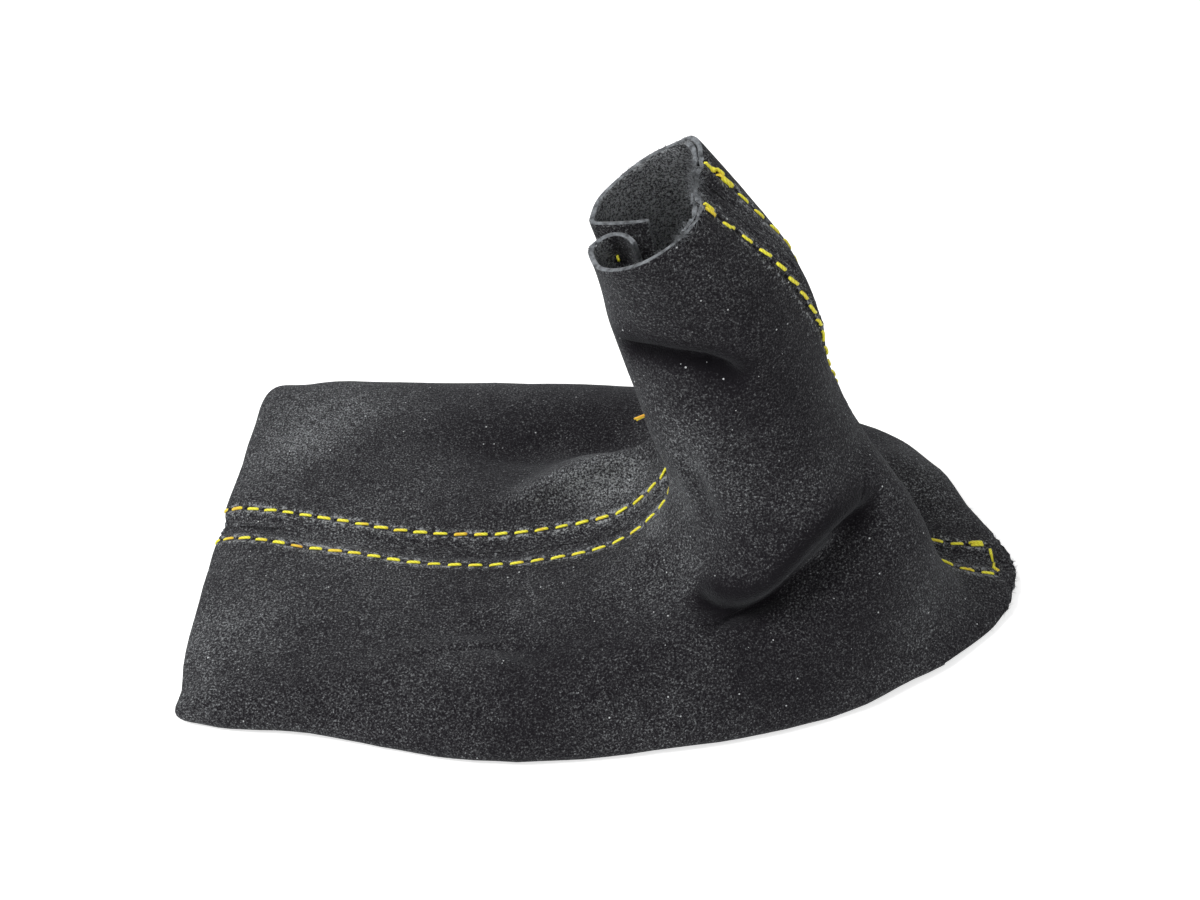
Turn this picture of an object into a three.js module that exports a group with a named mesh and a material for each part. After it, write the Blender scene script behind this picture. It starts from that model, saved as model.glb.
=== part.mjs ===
import * as THREE from "three";

// A gear lever gaiter: a loose suede sleeve that closes the gap round the foot of a car's gear lever.
// It is sewn from two cut panels, one for the near side and one for the far side. They meet at a front seam
// and a rear seam. Each seam is pressed open, with an allowance folded under on both sides and held by a row of
// topstitching. The wide base lies on the floor with its hem turned under, and the neck leans forward over it.
// Sizes are in millimetres, with X from the front to the rear tip, Y to the far side and Z up.

// The whole gaiter.
const baseLength = 188;
const baseWidth = 118;
const neckHeight = 111;
const neckWidth = 52;
const rimWidth = 32;

// The suede and its seams.
const suedeThickness = 1.1;
const foldAir = 0.3;
const seamGap = 0.3;
const allowance = 11;

// The hem, turned under on the base and left raw at the rear tip.
const hemTurn = 12;
const hemBend = 1.4;
const mitreStart = 1.2;
const mitreSlope = 0.8;
const rawEdgeReach = 26;
const rawEdgeEase = 8;
const allowanceEase = 6;
const tipLift = 0.25;

// The thread: stitches as they show, and the closing stitch across the rear tip.
const threadThickness = 0.7;
const joinThreadThickness = 0.6;
const threadClearance = 0.3;
const stitchOffset = 4.7;
const stitchPitch = 4.8;
const stitchDip = 0.12;
const stitchShoulder = 0.22;
const joinPitch = 12;
const closingStitchInset = 5;
const rimStitchInset = 2.2;

// The slit in the neck, where the front seam is left unsewn and both edges turn inwards.
const slitLength = 44;
const slitRun = 26;
const nearCurlRadius = 4.3;
const nearCurlTurn = 300;
const farHookRadius = 2.6;
const farHookTurn = 92;
const nearSlitGap = 2.6;
const farSlitGap = 5.0;

// Where each side's suede lies, as shares of half the base's length and width and of the neck's height. The
// stations go round from the front seam over the near side to the rear seam, and back over the far side. hem is
// the outer edge on the floor, rise is the height of the suede at each of the runs from hem to neck, bow moves
// the middle of that way sideways, turn is the angle at the neck's foot, twist is what is added to it further up,
// and rim is the cut edge at the top, in rim widths from the rim's middle.
const runs = [0.06, 0.25, 0.5, 0.75, 0.92];
const stations = [
  { hem: [-0.979, 0.119], rise: [0.045, 0.072, 0.074, 0.099, 0.162], bow: -0.127, turn: 180, twist: 0,
    rim: [-0.323, -0.003, 0.86] },
  { hem: [-0.991, -0.759], rise: [0.045, 0.077, 0.086, 0.117, 0.18], bow: -0.068, turn: 198, twist: 0,
    rim: [-0.32, -0.159, 0.863] },
  { hem: [-0.951, -0.854], rise: [0.045, 0.081, 0.099, 0.131, 0.189], bow: -0.034, turn: 212, twist: 0,
    rim: [-0.289, -0.3, 0.872] },
  { hem: [-0.681, -0.892], rise: [0.045, 0.09, 0.113, 0.149, 0.203], bow: 0, turn: 228, twist: 0,
    rim: [-0.211, -0.397, 0.886] },
  { hem: [-0.351, -1.017], rise: [0.05, 0.104, 0.144, 0.18, 0.23], bow: 0, turn: 248, twist: 0,
    rim: [-0.092, -0.459, 0.905] },
  { hem: [0.043, -0.986], rise: [0.05, 0.117, 0.176, 0.225, 0.279], bow: 0, turn: 270, twist: 0,
    rim: [0.048, -0.466, 0.928] },
  { hem: [0.553, -0.802], rise: [0.045, 0.099, 0.171, 0.252, 0.324], bow: 0, turn: 300, twist: -5,
    rim: [0.211, -0.388, 0.953] },
  { hem: [0.91, -0.415], rise: [0.031, 0.063, 0.261, 0.369, 0.414], bow: 0, turn: 334, twist: -12,
    rim: [0.308, -0.253, 0.969] },
  { hem: [0.985, -0.246], rise: [0.027, 0.038, 0.072, 0.243, 0.36], bow: -0.051, turn: 366, twist: -24,
    rim: [0.323, -0.144, 0.977] },
  { hem: [1, -0.102], rise: [0.031, 0.038, 0.05, 0.144, 0.297], bow: -0.102, turn: 390, twist: -35,
    rim: [0.311, -0.034, 0.984] },
  { hem: [0.888, 0.314], rise: [0.036, 0.05, 0.072, 0.144, 0.288], bow: -0.034, turn: 404, twist: -27,
    rim: [0.314, 0.122, 0.996] },
  { hem: [0.739, 0.653], rise: [0.041, 0.059, 0.09, 0.153, 0.27], bow: 0, turn: 420, twist: -13,
    rim: [0.283, 0.294, 1.009] },
  { hem: [0.117, 0.922], rise: [0.045, 0.072, 0.09, 0.144, 0.252], bow: 0, turn: 448, twist: 0,
    rim: [0.064, 0.466, 0.951] },
  { hem: [-0.404, 0.953], rise: [0.045, 0.072, 0.081, 0.099, 0.18], bow: 0, turn: 480, twist: 0,
    rim: [-0.17, 0.419, 0.899] },
  { hem: [-0.872, 0.953], rise: [0.045, 0.072, 0.081, 0.095, 0.153], bow: -0.034, turn: 508, twist: 0,
    rim: [-0.289, 0.297, 0.876] },
  { hem: [-0.921, 0.856], rise: [0.05, 0.077, 0.081, 0.099, 0.158], bow: -0.085, turn: 524, twist: 0,
    rim: [-0.317, 0.153, 0.865] },
];
const rearSeamStation = 9;
const cornerStations = [1.5, 11, 14.5];

// The neck's rings, from its foot up: where the middle is, how far it reaches along and across the base, and how
// high its front and its back are. The reaches are shares of the neck's width at its foot.
const neckRings = [
  { middle: [0.366, -0.093], along: 0.792, across: 1, front: 0.306, back: 0.423 },
  { middle: [0.288, -0.089], along: 0.773, across: 0.817, front: 0.486, back: 0.518 },
  { middle: [0.234, -0.081], along: 0.769, across: 0.702, front: 0.622, back: 0.662 },
  { middle: [0.172, -0.076], along: 0.667, across: 0.635, front: 0.748, back: 0.833 },
];
const rimMiddle = [0.069, -0.083];

// The folds that the suede has taken: each follows a line on it, given in the same shares, and is pushed by depth
// along its direction. fade is the share of the line over which each end dies away.
const folds = [
  { name: "crease below the neck", depth: 9, width: 5.6, push: [-0.1, 0.75, -0.65], fade: 0.35,
    line: [
      [0.2, -0.62, 0.19], [0.319, -0.644, 0.198], [0.394, -0.61, 0.234], [0.457, -0.525, 0.297],
      [0.553, -0.432, 0.342], [0.68, -0.33, 0.333],
    ] },
  { name: "roll above the crease", depth: 6.5, width: 8, push: [0.05, -1, -0.35], fade: 0.25,
    line: [
      [0.106, -0.39, 0.279], [0.213, -0.525, 0.27], [0.319, -0.559, 0.306], [0.404, -0.525, 0.36],
      [0.489, -0.441, 0.414], [0.564, -0.339, 0.441],
    ] },
  { name: "ridge behind the front seam", depth: 12, width: 6.2, push: [0, -0.15, 1], fade: 0.45,
    line: [
      [-0.404, 0.136, 0.081], [-0.223, 0.178, 0.09], [-0.106, 0.229, 0.108], [0.011, 0.246, 0.153],
      [0.096, 0.203, 0.225], [0.138, 0.119, 0.306],
    ] },
  { name: "pocket on the far side", depth: 5.5, width: 8.5, push: [0, 0.2, -1], fade: 0.35,
    line: [
      [-0.511, 0.373, 0.081], [-0.277, 0.39, 0.081], [-0.085, 0.441, 0.108], [0.053, 0.458, 0.135],
      [0.17, 0.424, 0.198],
    ] },
  { name: "dent across the neck", depth: 4, width: 5, push: [0.1, 1, 0.1], fade: 0.35,
    line: [
      [-0.011, -0.169, 0.694], [0.043, -0.254, 0.703], [0.106, -0.314, 0.712], [0.17, -0.347, 0.712],
      [0.234, -0.364, 0.703], [0.309, -0.373, 0.676],
    ] },
  { name: "dimple in front of the neck", depth: 2.5, width: 7.5, push: [0, 0.3, -1], fade: 0.3,
    line: [
      [-0.34, -0.508, 0.104], [-0.245, -0.627, 0.113], [-0.128, -0.746, 0.122],
    ] },
];

const up = new THREE.Vector3(0, 0, 1);
const halfSuede = suedeThickness / 2;
const foldRadius = halfSuede + foldAir / 2;
const foldOuter = foldRadius + halfSuede;
const edgeOffset = foldOuter + seamGap / 2;
const hemHeight = hemBend + halfSuede;

// How finely the panels are laid out.
const loopSamples = 360;
const foldSteps = 4;
const frontOffsets = [0, stitchOffset - edgeOffset, 5.8, 8.4, allowance];
const rearOffsets = [0, stitchOffset - edgeOffset, 7, allowance];
const nearColumns = [0.6, 1, 1.5, 2, 2.5, 3, 3.5, 4, 4.5, 5, 5.4, 5.8, 6.2, 6.6, 7, 7.5];
const farColumns = [9.9, 10.3, 10.7, 11, 11.35, 11.75, 12.2, 12.6, 13, 13.4, 13.8, 14.2, 14.5, 14.8, 15.1, 15.4];
const rowLevels = [
  0, 0.5, 1, 1.5, 2, 2.5, 3, 3.4, 3.8, 4.15, 4.5, 4.8, 5.1, 5.4, 5.8,
  6.3, 6.9, 7.5, 8, 8.4, 8.8, 9.15, 9.5, 9.75, 10,
];
const hemRows = 3;
const foldLineSteps = 32;

function smooth(low, high, value) {
  return THREE.MathUtils.smoothstep(value, low, high);
}

// The net of points that the surface passes through: one column of points for each station.
function stationColumn(station) {
  const foot = ringPoint(neckRings[0], station.turn);
  const start = placed([...station.hem, 0]).setZ(hemHeight);
  const column = [start];
  runs.forEach((run, k) => {
    const point = start.clone().lerp(foot, run);
    point.y += station.bow * (baseWidth / 2) * Math.sin(Math.PI * run);
    point.z = station.rise[k] * neckHeight;
    column.push(point);
  });
  neckRings.forEach((ring, k) => {
    column.push(ringPoint(ring, station.turn + (station.twist * k) / (neckRings.length - 1)));
  });
  const rim = placed([...rimMiddle, station.rim[2]]);
  column.push(rim.add(new THREE.Vector3(station.rim[0] * rimWidth, station.rim[1] * rimWidth, 0)));
  return column;
}

// A place given in shares of half the base's length and width and of the neck's height.
function placed([along, across, height]) {
  return new THREE.Vector3((along * baseLength) / 2, (across * baseWidth) / 2, height * neckHeight);
}

function ringPoint(ring, turn) {
  const angle = THREE.MathUtils.degToRad(turn);
  const height = THREE.MathUtils.lerp(ring.front, ring.back, (1 + Math.cos(angle)) / 2);
  const point = placed([...ring.middle, height]);
  point.x += ring.along * (neckWidth / 2) * Math.cos(angle);
  point.y += ring.across * (neckWidth / 2) * Math.sin(angle);
  return point;
}

const columns = stations.map((station) => {
  return new THREE.CatmullRomCurve3(stationColumn(station), false, "centripetal");
});
const topLevel = rowLevels[rowLevels.length - 1];

// The closed loop round the gaiter at one level, measured from the front seam.
function loopAt(level) {
  const points = columns.map((column) => column.getPoint(level / topLevel));
  const curve = new THREE.CatmullRomCurve3(points, true, "centripetal");
  const samples = curve.getPoints(loopSamples);
  const lengths = [0];
  for (let k = 1; k <= loopSamples; k++) {
    lengths.push(lengths[k - 1] + samples[k].distanceTo(samples[k - 1]));
  }
  const shareAt = (distance) => {
    let k = 1;
    while (k < loopSamples && lengths[k] < distance) k++;
    const within = (distance - lengths[k - 1]) / (lengths[k] - lengths[k - 1]);
    return (k - 1 + within) / loopSamples;
  };
  const wrap = (share) => share - Math.floor(share);
  return {
    length: lengths[loopSamples],
    rear: lengths[Math.round((loopSamples * rearSeamStation) / stations.length)],
    shareAt,
    pointAtShare: (share) => folded(curve.getPoint(wrap(share))),
    pointAt: (distance) => folded(curve.getPoint(wrap(shareAt(distance)))),
    tangentAt: (distance) => curve.getTangent(wrap(shareAt(distance))),
  };
}

// A point of the smooth surface, moved by every fold that reaches it.
function folded(point) {
  const moved = point.clone();
  for (const fold of foldCurves) {
    let nearest = Infinity;
    let share = 0;
    fold.points.forEach((onLine, k) => {
      const distance = onLine.distanceTo(point);
      if (distance >= nearest) return;
      nearest = distance;
      share = k / foldLineSteps;
    });
    const ends = smooth(0, fold.fade, share) * smooth(0, fold.fade, 1 - share);
    const amount = fold.depth * ends * Math.exp(-((nearest / fold.width) ** 2));
    moved.addScaledVector(fold.push, amount);
  }
  return moved;
}

const foldCurves = folds.map((fold) => ({
  ...fold,
  push: new THREE.Vector3(...fold.push).normalize(),
  points: new THREE.CatmullRomCurve3(fold.line.map(placed)).getPoints(foldLineSteps),
}));

const loops = rowLevels.map(loopAt);

// How far each row has come above the foot of the slit, measured down the front seam from the rim.
const frontSeamLine = loops.map((loop) => loop.pointAt(0));
const belowRim = frontSeamLine.map(() => 0);
for (let i = frontSeamLine.length - 2; i >= 0; i--) {
  belowRim[i] = belowRim[i + 1] + frontSeamLine[i].distanceTo(frontSeamLine[i + 1]);
}
const openness = belowRim.map((distance) => 1 - smooth(slitLength - slitRun, slitLength, distance));

// One edge of a panel: the seam line that it stops at, and the frame across it at each row.
// sign is +1 where the panel's loop starts at this seam and -1 where it ends there.
function panelEdge(seam, side) {
  const sign = (seam === "front") === (side === "near") ? 1 : -1;
  const slitGap = side === "near" ? nearSlitGap : farSlitGap;
  const feet = loops.map((loop, i) => {
    const start = seam === "rear" ? loop.rear : sign > 0 ? 0 : loop.length;
    const opening = seam === "front" ? slitGap * openness[i] : 0;
    return { at: start + sign * opening, opening };
  });
  const points = feet.map((foot, i) => loops[i].pointAt(clampTo(foot.at, loops[i].length)));
  return feet.map((foot, i) => {
    const along = points[Math.min(i + 1, points.length - 1)].clone().sub(points[Math.max(i - 1, 0)]).normalize();
    const inward = loops[i].tangentAt(clampTo(foot.at, loops[i].length)).multiplyScalar(sign);
    inward.addScaledVector(along, -inward.dot(along)).normalize();
    const outward = inward.clone().cross(along).multiplyScalar(sign).normalize();
    return { at: foot.at, point: points[i], along, inward, outward, sign };
  });
}

function clampTo(distance, length) {
  return Math.min(Math.max(distance, 0), length);
}

// The middle of the suede at each row, in columns from one seam edge to the other.
function mainGrid(startEdge, endEdge, startOffsets, endOffsets, sideColumns) {
  const spanOf = (loop, i) => [
    loop.shareAt(startEdge[i].at + edgeOffset + startOffsets[startOffsets.length - 1]),
    loop.shareAt(endEdge[i].at - edgeOffset - endOffsets[endOffsets.length - 1]),
  ];
  const [hemFrom, hemTo] = spanOf(loops[0], 0);
  const shares = sideColumns.map((at) => (at / stations.length - hemFrom) / (hemTo - hemFrom));
  return loops.map((loop, i) => {
    const start = startEdge[i];
    const end = endEdge[i];
    const row = [start.point.clone().addScaledVector(start.inward, edgeOffset)];
    startOffsets.slice(1).forEach((offset) => row.push(loop.pointAt(start.at + edgeOffset + offset)));
    const [from, to] = spanOf(loop, i);
    shares.forEach((share) => row.push(loop.pointAtShare(THREE.MathUtils.lerp(from, to, share))));
    endOffsets.slice(1).reverse().forEach((offset) => row.push(loop.pointAt(end.at - edgeOffset - offset)));
    row.push(end.point.clone().addScaledVector(end.inward, edgeOffset));
    return row;
  });
}

// Outward normals of a grid whose columns run round the gaiter and whose rows run up.
function gridNormals(grid) {
  const unit = (a, b) => b.clone().sub(a).normalize();
  return grid.map((row, i) =>
    row.map((point, j) => {
      const around = new THREE.Vector3();
      if (j > 0) around.add(unit(row[j - 1], point));
      if (j < row.length - 1) around.add(unit(point, row[j + 1]));
      const upward = new THREE.Vector3();
      if (i > 0) upward.add(unit(grid[i - 1][j], point));
      if (i < grid.length - 1) upward.add(unit(point, grid[i + 1][j]));
      return around.cross(upward).normalize();
    }),
  );
}

// The folded edge and its allowance, from the fold inwards: sewn flat under the panel, or curled where the
// slit is open.
function edgeStrip(main, normals, edge, offsets, opened) {
  const last = main[0].length - 1;
  const columnAt = (k) => (edge[0].sign > 0 ? k : last - k);
  return main.map((row, i) => {
    const frame = edge[i];
    const points = [];
    const foldStart = row[columnAt(0)];
    for (let k = 1; k <= foldSteps; k++) {
      const angle = (Math.PI * k) / foldSteps;
      const centre = foldStart.clone().addScaledVector(frame.outward, -foldRadius);
      centre.addScaledVector(frame.outward, foldRadius * Math.cos(angle));
      points.push(centre.addScaledVector(frame.inward, -foldRadius * Math.sin(angle)));
    }
    offsets.slice(1).forEach((offset, k) => {
      const column = columnAt(k + 1);
      points.push(row[column].clone().addScaledVector(normals[i][column], -2 * foldRadius));
    });
    if (!opened || openness[i] === 0) return points;
    const curled = curledEdge(foldStart, frame, offsets, opened);
    return points.map((point, k) => point.lerp(curled[k], openness[i]));
  });
}

// A free edge that turns inwards with one radius and then runs straight.
function curledEdge(start, frame, offsets, { radius, turn }) {
  const foldLength = Math.PI * foldRadius;
  const stops = [];
  for (let k = 1; k <= foldSteps; k++) stops.push((foldLength * k) / foldSteps);
  offsets.slice(1).forEach((offset) => stops.push(foldLength + offset));
  const bendLength = radius * THREE.MathUtils.degToRad(turn);
  return stops.map((stop) => {
    const angle = Math.min(stop, bendLength) / radius;
    const beyond = Math.max(stop - bendLength, 0);
    const ahead = radius * Math.sin(angle) + beyond * Math.cos(angle);
    const inside = radius * (1 - Math.cos(angle)) + beyond * Math.sin(angle);
    return start.clone().addScaledVector(frame.inward, -ahead).addScaledVector(frame.outward, -inside);
  });
}

// The hem's rows under the base: a quarter bend and a flat turn, narrowed to a mitre at the corners.
function hemGrid(main) {
  const row = main[0];
  const distance = [0];
  for (let j = 1; j < row.length; j++) distance.push(distance[j - 1] + row[j].distanceTo(row[j - 1]));
  const corners = hemCorners.map((corner) => {
    let best = 0;
    row.forEach((point, j) => {
      if (point.distanceTo(corner) < row[best].distanceTo(corner)) best = j;
    });
    return row[best].distanceTo(corner) < hemTurn ? distance[best] : Infinity;
  });
  const turned = row.map((point, j) => {
    const before = row[Math.max(j - 1, 0)];
    const after = row[Math.min(j + 1, row.length - 1)];
    const outward = after.clone().sub(before).setZ(0).cross(up).normalize();
    const toCorner = Math.min(...corners.map((at) => Math.abs(distance[j] - at)));
    const width = Math.min(hemTurn, mitreStart + mitreSlope * toCorner);
    return { point, outward, width };
  });
  const inwardAndDown = ({ point, outward }, inward, z) =>
    point.clone().addScaledVector(outward, -inward).setZ(z);
  const half = hemBend * Math.SQRT1_2;
  return [
    turned.map((t) => inwardAndDown(t, hemBend + t.width, halfSuede)),
    turned.map((t) => inwardAndDown(t, hemBend, halfSuede)),
    turned.map((t) => inwardAndDown(t, hemBend - half, hemHeight - half)),
  ];
}

const hemCorners = cornerStations.map((at) => loops[0].pointAtShare(at / stations.length));

// The rear tip is left raw: the suede lies over its folded allowance there, and flat beside it.
function settleRearTip(main, rearColumn) {
  const row = main[0];
  const step = rearColumn === 0 ? 1 : -1;
  let distance = edgeOffset;
  for (let j = rearColumn; distance < rawEdgeReach; j += step) {
    const overAllowance = 1 - smooth(allowance + edgeOffset, allowance + edgeOffset + allowanceEase, distance);
    const flat = 1 - smooth(rawEdgeReach - rawEdgeEase, rawEdgeReach, distance);
    const raw = halfSuede + 2 * foldRadius * overAllowance;
    row[j].z = THREE.MathUtils.lerp(hemHeight, raw + tipLift, flat);
    distance += row[j].distanceTo(row[j + step]);
  }
}

// A closed solid from the kept cells of a grid of points on the outer face and on the inner face.
function thickSheet(outer, inner, keep) {
  const rows = outer.length;
  const count = outer[0].length;
  const positions = [];
  for (const grid of [outer, inner]) grid.forEach((row) => row.forEach((p) => positions.push(p.x, p.y, p.z)));
  const index = [];
  const out = (i, j) => i * count + j;
  const into = (i, j) => rows * count + i * count + j;
  const quad = (a, b, c, d) => index.push(a, b, c, a, c, d);
  const kept = (i, j) => i >= 0 && j >= 0 && i < rows - 1 && j < count - 1 && keep(i, j);
  for (let i = 0; i < rows - 1; i++) {
    for (let j = 0; j < count - 1; j++) {
      if (!kept(i, j)) continue;
      quad(out(i, j), out(i, j + 1), out(i + 1, j + 1), out(i + 1, j));
      quad(into(i, j), into(i + 1, j), into(i + 1, j + 1), into(i, j + 1));
      if (!kept(i - 1, j)) quad(out(i, j), into(i, j), into(i, j + 1), out(i, j + 1));
      if (!kept(i + 1, j)) quad(out(i + 1, j), out(i + 1, j + 1), into(i + 1, j + 1), into(i + 1, j));
      if (!kept(i, j - 1)) quad(out(i, j), out(i + 1, j), into(i + 1, j), into(i, j));
      if (!kept(i, j + 1)) quad(out(i, j + 1), into(i, j + 1), into(i + 1, j + 1), out(i + 1, j + 1));
    }
  }
  return compactGeometry(positions, index);
}

// Drops the points that no face uses.
function compactGeometry(positions, index) {
  const used = new Map();
  const kept = [];
  const renumbered = index.map((old) => {
    if (!used.has(old)) {
      used.set(old, used.size);
      kept.push(positions[3 * old], positions[3 * old + 1], positions[3 * old + 2]);
    }
    return used.get(old);
  });
  const geometry = new THREE.BufferGeometry();
  geometry.setAttribute("position", new THREE.Float32BufferAttribute(kept, 3));
  geometry.setIndex(renumbered);
  geometry.computeVertexNormals();
  return geometry;
}

// One panel, with both its folded edges and its turned hem.
function buildPanel(side) {
  const startSeam = side === "near" ? "front" : "rear";
  const endSeam = side === "near" ? "rear" : "front";
  const offsetsOf = { front: frontOffsets, rear: rearOffsets };
  const startEdge = panelEdge(startSeam, side);
  const endEdge = panelEdge(endSeam, side);
  const sideColumns = side === "near" ? nearColumns : farColumns;
  const main = mainGrid(startEdge, endEdge, offsetsOf[startSeam], offsetsOf[endSeam], sideColumns);
  settleRearTip(main, startSeam === "rear" ? 0 : main[0].length - 1);
  const normals = gridNormals(main);
  normals.forEach((row, i) => {
    row[0] = startEdge[i].outward;
    row[row.length - 1] = endEdge[i].outward;
  });
  const opened = side === "near" ? nearCurl : farHook;
  const startStrip = edgeStrip(main, normals, startEdge, offsetsOf[startSeam], startSeam === "front" && opened);
  const endStrip = edgeStrip(main, normals, endEdge, offsetsOf[endSeam], endSeam === "front" && opened);
  const hem = hemGrid(main);
  const startCount = startStrip[0].length;
  const endCount = endStrip[0].length;
  const pad = (row) => [...Array(startCount).fill(row[0]), ...row, ...Array(endCount).fill(row[row.length - 1])];
  const middle = [
    ...hem.map(pad),
    ...main.map((row, i) => [...[...startStrip[i]].reverse(), ...row, ...endStrip[i]]),
  ];
  const faceNormals = gridNormals(middle.slice(hemRows));
  const hemNormals = gridNormals([...hem, main[0]]).slice(0, hemRows);
  hemNormals[0].forEach((normal) => normal.set(0, 0, -1));
  hemNormals[1].forEach((normal) => normal.set(0, 0, -1));
  const all = [...hemNormals.map(pad), ...faceNormals];
  const firstMain = startCount;
  const lastMain = startCount + main[0].length - 1;
  const rawFrom = rawColumns(main[0], startSeam === "rear");
  const keep = (i, j) => {
    if (i >= hemRows) return true;
    if (j < firstMain || j >= lastMain) return false;
    return startSeam === "rear" ? j - firstMain >= rawFrom : j - firstMain < main[0].length - 1 - rawFrom;
  };
  const offsetBy = (amount) =>
    middle.map((row, i) => row.map((point, j) => point.clone().addScaledVector(all[i][j], amount)));
  const geometry = thickSheet(offsetBy(halfSuede), offsetBy(-halfSuede), keep);
  return { geometry, main, normals, startEdge, endEdge };
}

const nearCurl = { radius: nearCurlRadius, turn: nearCurlTurn };
const farHook = { radius: farHookRadius, turn: farHookTurn };

// How many columns from the rear seam have a raw edge and no hem.
function rawColumns(row, rearFirst) {
  const ordered = rearFirst ? row : [...row].reverse();
  let distance = edgeOffset;
  let j = 0;
  while (distance < rawEdgeReach) {
    distance += ordered[j].distanceTo(ordered[j + 1]);
    j += 1;
  }
  return j;
}

// A thread laid along a line just over the suede, in stitches: full in the middle and drawn down at each hole.
function threadGeometry(line, thickness, pitch) {
  const radius = thickness / 2;
  const lengths = [0];
  for (let k = 1; k < line.length; k++) {
    lengths.push(lengths[k - 1] + line[k].point.distanceTo(line[k - 1].point));
  }
  const total = lengths[lengths.length - 1];
  const stitches = Math.max(1, Math.round(total / pitch));
  const stops = [];
  for (let k = 0; k < stitches; k++) {
    stops.push({ at: (total * k) / stitches, pinch: 1 });
    stops.push({ at: (total * (k + stitchShoulder)) / stitches, pinch: 0 });
    stops.push({ at: (total * (k + 1 - stitchShoulder)) / stitches, pinch: 0 });
  }
  stops.push({ at: total, pinch: 1 });
  const sampled = stops.map(({ at, pinch }) => {
    let k = 1;
    while (k < line.length - 1 && lengths[k] < at) k++;
    const within = (at - lengths[k - 1]) / (lengths[k] - lengths[k - 1]);
    const point = line[k - 1].point.clone().lerp(line[k].point, within);
    const outward = line[k - 1].outward.clone().lerp(line[k].outward, within).normalize();
    return { point, outward, radius: radius - stitchDip * pinch };
  });
  return tube(sampled);
}

// A closed four-sided tube through points that each carry an outward direction and a radius.
function tube(path) {
  const sides = 4;
  const positions = [];
  const index = [];
  path.forEach((step, k) => {
    const before = path[Math.max(k - 1, 0)].point;
    const after = path[Math.min(k + 1, path.length - 1)].point;
    const ahead = after.clone().sub(before).normalize();
    const across = ahead.clone().cross(step.outward).normalize();
    const over = across.clone().cross(ahead).normalize();
    for (let s = 0; s < sides; s++) {
      const angle = (2 * Math.PI * s) / sides;
      const corner = step.point.clone().addScaledVector(across, step.radius * Math.cos(angle));
      corner.addScaledVector(over, step.radius * Math.sin(angle));
      positions.push(corner.x, corner.y, corner.z);
    }
  });
  for (let k = 0; k < path.length - 1; k++) {
    for (let s = 0; s < sides; s++) {
      const a = k * sides + s;
      const b = k * sides + ((s + 1) % sides);
      index.push(a, b + sides, b, a, a + sides, b + sides);
    }
  }
  const end = (path.length - 1) * sides;
  index.push(0, 1, 2, 0, 2, 3);
  index.push(end, end + 2, end + 1, end, end + 3, end + 2);
  const geometry = new THREE.BufferGeometry();
  geometry.setAttribute("position", new THREE.Float32BufferAttribute(positions, 3));
  geometry.setIndex(index);
  geometry.computeVertexNormals();
  return geometry;
}

// The line that a topstitch row follows, over the panel at the stitch offset from the seam.
function stitchLine(panel, seam, side, from, to) {
  const first = (seam === "front") === (side === "near");
  const column = first ? 1 : panel.main[0].length - 2;
  const lift = halfSuede + threadClearance + threadThickness / 2;
  const line = [];
  for (let i = from; i <= to; i++) {
    const outward = panel.normals[i][column];
    line.push({ point: panel.main[i][column].clone().addScaledVector(outward, lift), outward });
  }
  return line;
}

// Cuts a line back by a length from its start.
function trimStart(line, length) {
  let left = length;
  let k = 0;
  while (k < line.length - 2 && line[k].point.distanceTo(line[k + 1].point) < left) {
    left -= line[k].point.distanceTo(line[k + 1].point);
    k += 1;
  }
  const share = left / line[k].point.distanceTo(line[k + 1].point);
  const start = {
    point: line[k].point.clone().lerp(line[k + 1].point, share),
    outward: line[k].outward.clone().lerp(line[k + 1].outward, share).normalize(),
  };
  return [start, ...line.slice(k + 1)];
}

// The joining thread lies in the groove under the seam, between the two folds.
function joinLine(edge, from, to) {
  const reach = foldOuter + threadClearance + joinThreadThickness / 2;
  const depth = foldRadius + Math.sqrt(reach * reach - edgeOffset * edgeOffset);
  const line = [];
  for (let i = from; i <= to; i++) {
    line.push({
      point: edge[i].point.clone().addScaledVector(edge[i].outward, -depth),
      outward: edge[i].outward.clone(),
    });
  }
  return line;
}

const suede = new THREE.MeshStandardMaterial({ color: 0x36363a, roughness: 0.95, metalness: 0 });
const yellowThread = new THREE.MeshStandardMaterial({ color: 0xe6d71c, roughness: 0.6, metalness: 0 });
const darkThread = new THREE.MeshStandardMaterial({ color: 0x2a2a2c, roughness: 0.7, metalness: 0 });

function named(name, geometry, material) {
  const mesh = new THREE.Mesh(geometry, material);
  mesh.name = name;
  return mesh;
}

const near = buildPanel("near");
const far = buildPanel("far");
const topRow = rowLevels.length - 1;
const slitRow = openness.findIndex((amount) => amount > 0) - 1;

const rearNear = trimStart(stitchLine(near, "rear", "near", 0, topRow), closingStitchInset);
const rearFar = trimStart(stitchLine(far, "rear", "far", 0, topRow), closingStitchInset);
const rearThread = [
  ...trimStart([...rearNear].reverse(), rimStitchInset),
  ...trimStart([...rearFar].reverse(), rimStitchInset).reverse(),
];

const gaiter = new THREE.Group();
gaiter.add(
  named("near_panel", near.geometry, suede),
  named("far_panel", far.geometry, suede),
  named(
    "front_topstitch_near",
    threadGeometry(stitchLine(near, "front", "near", 0, slitRow), threadThickness, stitchPitch),
    yellowThread,
  ),
  named(
    "front_topstitch_far",
    threadGeometry(stitchLine(far, "front", "far", 0, slitRow), threadThickness, stitchPitch),
    yellowThread,
  ),
  named("rear_topstitch", threadGeometry(rearThread, threadThickness, stitchPitch), yellowThread),
  named(
    "front_join_thread",
    threadGeometry(joinLine(near.startEdge, 1, slitRow), joinThreadThickness, joinPitch),
    darkThread,
  ),
  named(
    "rear_join_thread",
    threadGeometry(joinLine(near.endEdge, 1, topRow - 1), joinThreadThickness, joinPitch),
    darkThread,
  ),
);

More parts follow.
